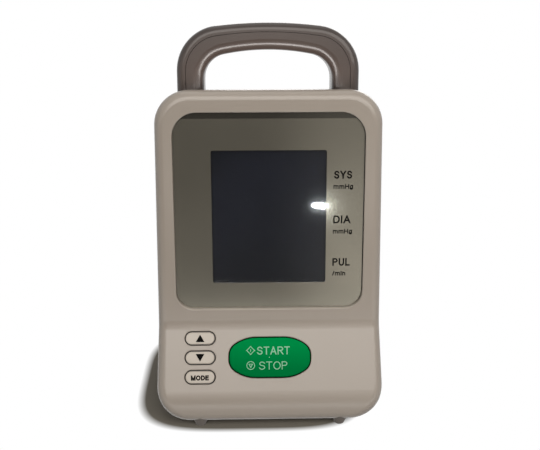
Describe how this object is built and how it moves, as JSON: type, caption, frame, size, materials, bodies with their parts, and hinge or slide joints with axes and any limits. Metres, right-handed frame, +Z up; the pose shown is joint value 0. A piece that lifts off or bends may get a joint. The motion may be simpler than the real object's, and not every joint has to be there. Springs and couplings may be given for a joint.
{
  "type": "digital sphygmomanometer",
  "caption": "Desktop upper-arm blood pressure monitor: leaning two-tone case with a fixed carrying handle, large display, push keys, pump inside and a side socket for the cuff hose.",
  "frame": {"origin": "middle of the footprint, on the plane that the feet stand on", "axes": "+Z up; the display faces -Y; +X is the right of a person looking at the display"},
  "size_m": [0.1334, 0.116, 0.2283],
  "materials": {
    "front_case": "smooth gloss moulding, off white",
    "rear_case": "smooth gloss moulding, warm grey",
    "handle_cover": "smooth gloss moulding, warm grey",
    "display_panel": "silver paint under clear lacquer",
    "display_lens": "polished clear plastic lens",
    "lcd_glass": "dark display cell, polished",
    "lcd_reflector": "satin reflecting film",
    "lcd_frame": "matt white moulding",
    "elastomer_strips": "soft striped silicone",
    "main_board": "glass fibre board, green solder mask",
    "key_board": "glass fibre board, green solder mask",
    "processor_chips": "matt black epoxy",
    "board_capacitors": "dark sleeve over an aluminium can",
    "buzzer": "matt black moulding",
    "pressure_sensor": "matt off-white moulding",
    "switch_housings": "matt black moulding",
    "battery_door": "smooth gloss moulding, warm grey",
    "battery_cells": "printed metal sleeve, steel ends",
    "battery_plates": "bright nickel plate",
    "battery_springs": "bright nickel plated spring wire",
    "pump_motor": "satin zinc plated steel can",
    "pump_head": "matt black moulding",
    "pump_rotor": "ground steel",
    "pump_cradle": "matt black rubber",
    "pump_clamp": "bright zinc plated strip",
    "cradle_screws": "zinc plated",
    "valve_body": "satin steel yoke",
    "valve_plunger": "ground steel",
    "air_manifold": "matt natural moulding",
    "pump_tube": "translucent silicone",
    "valve_tube": "translucent silicone",
    "sensor_tube": "translucent silicone",
    "socket_tube": "translucent silicone",
    "air_socket": "fine satin moulding, dark grey",
    "dc_jack": "matt black moulding",
    "jack_pin": "bright nickel plate",
    "case_screws": "zinc plated",
    "board_screws": "zinc plated",
    "feet": "matt grey rubber",
    "up_button": "smooth gloss moulding, pale grey",
    "down_button": "smooth gloss moulding, pale grey",
    "mode_button": "smooth gloss moulding, pale grey",
    "start_stop_button": "smooth gloss moulding, green",
    "up_plunger": "matt black moulding",
    "down_plunger": "matt black moulding",
    "mode_plunger": "matt black moulding",
    "start_stop_plunger": "matt black moulding"
  },
  "bodies": {
    "housing": {"front_case": "front_case", "rear_case": "rear_case", "handle_cover": "handle_cover", "display_panel": "display_panel", "display_lens": "display_lens", "lcd_glass": "lcd_glass", "lcd_reflector": "lcd_reflector", "lcd_frame": "lcd_frame", "elastomer_strips": "elastomer_strips", "main_board": "main_board", "key_board": "key_board", "processor_chips": "processor_chips", "board_capacitors": "board_capacitors", "buzzer": "buzzer", "pressure_sensor": "pressure_sensor", "switch_housings": "switch_housings", "battery_cells": "battery_cells", "battery_plates": "battery_plates", "battery_springs": "battery_springs", "pump_motor": "pump_motor", "pump_head": "pump_head", "pump_cradle": "pump_cradle", "pump_clamp": "pump_clamp", "cradle_screws": "cradle_screws", "valve_body": "valve_body", "air_manifold": "air_manifold", "pump_tube": "pump_tube", "valve_tube": "valve_tube", "sensor_tube": "sensor_tube", "socket_tube": "socket_tube", "air_socket": "air_socket", "dc_jack": "dc_jack", "jack_pin": "jack_pin", "case_screws": "case_screws", "board_screws": "board_screws", "feet": "feet"},
    "up_key": {"up_button": "up_button", "up_plunger": "up_plunger"},
    "down_key": {"down_button": "down_button", "down_plunger": "down_plunger"},
    "mode_key": {"mode_button": "mode_button", "mode_plunger": "mode_plunger"},
    "start_stop_key": {"start_stop_button": "start_stop_button", "start_stop_plunger": "start_stop_plunger"},
    "battery_door": {"battery_door": "battery_door"},
    "pump_rotor": {"pump_rotor": "pump_rotor"},
    "valve_core": {"valve_plunger": "valve_plunger"}
  },
  "joints": [
    {"name": "up_press", "type": "slide", "parent": "housing", "child": "up_key", "axis": [0, 0.8746, -0.4848], "range_m": [0, 0.001], "stiffness_N_per_m": 600},
    {"name": "down_press", "type": "slide", "parent": "housing", "child": "down_key", "axis": [0, 0.8746, -0.4848], "range_m": [0, 0.001], "stiffness_N_per_m": 600},
    {"name": "mode_press", "type": "slide", "parent": "housing", "child": "mode_key", "axis": [0, 0.8746, -0.4848], "range_m": [0, 0.001], "stiffness_N_per_m": 600},
    {"name": "start_stop_press", "type": "slide", "parent": "housing", "child": "start_stop_key", "axis": [0, 0.8746, -0.4848], "range_m": [0, 0.001], "stiffness_N_per_m": 600},
    {"name": "battery_door_tilt", "type": "hinge", "parent": "housing", "child": "battery_door", "pos_m": [0, 0.057, 0.02941], "axis": [-1, 0, 0], "range_deg": [0, 75]},
    {"name": "pump_spin", "type": "hinge", "parent": "housing", "child": "pump_rotor", "pos_m": [0, 0.02, 0.128], "axis": [1, 0, 0], "continuous": true},
    {"name": "valve_lift", "type": "slide", "parent": "housing", "child": "valve_core", "axis": [0, 0, 1], "range_m": [0, 0.001], "stiffness_N_per_m": 400}
  ]
}
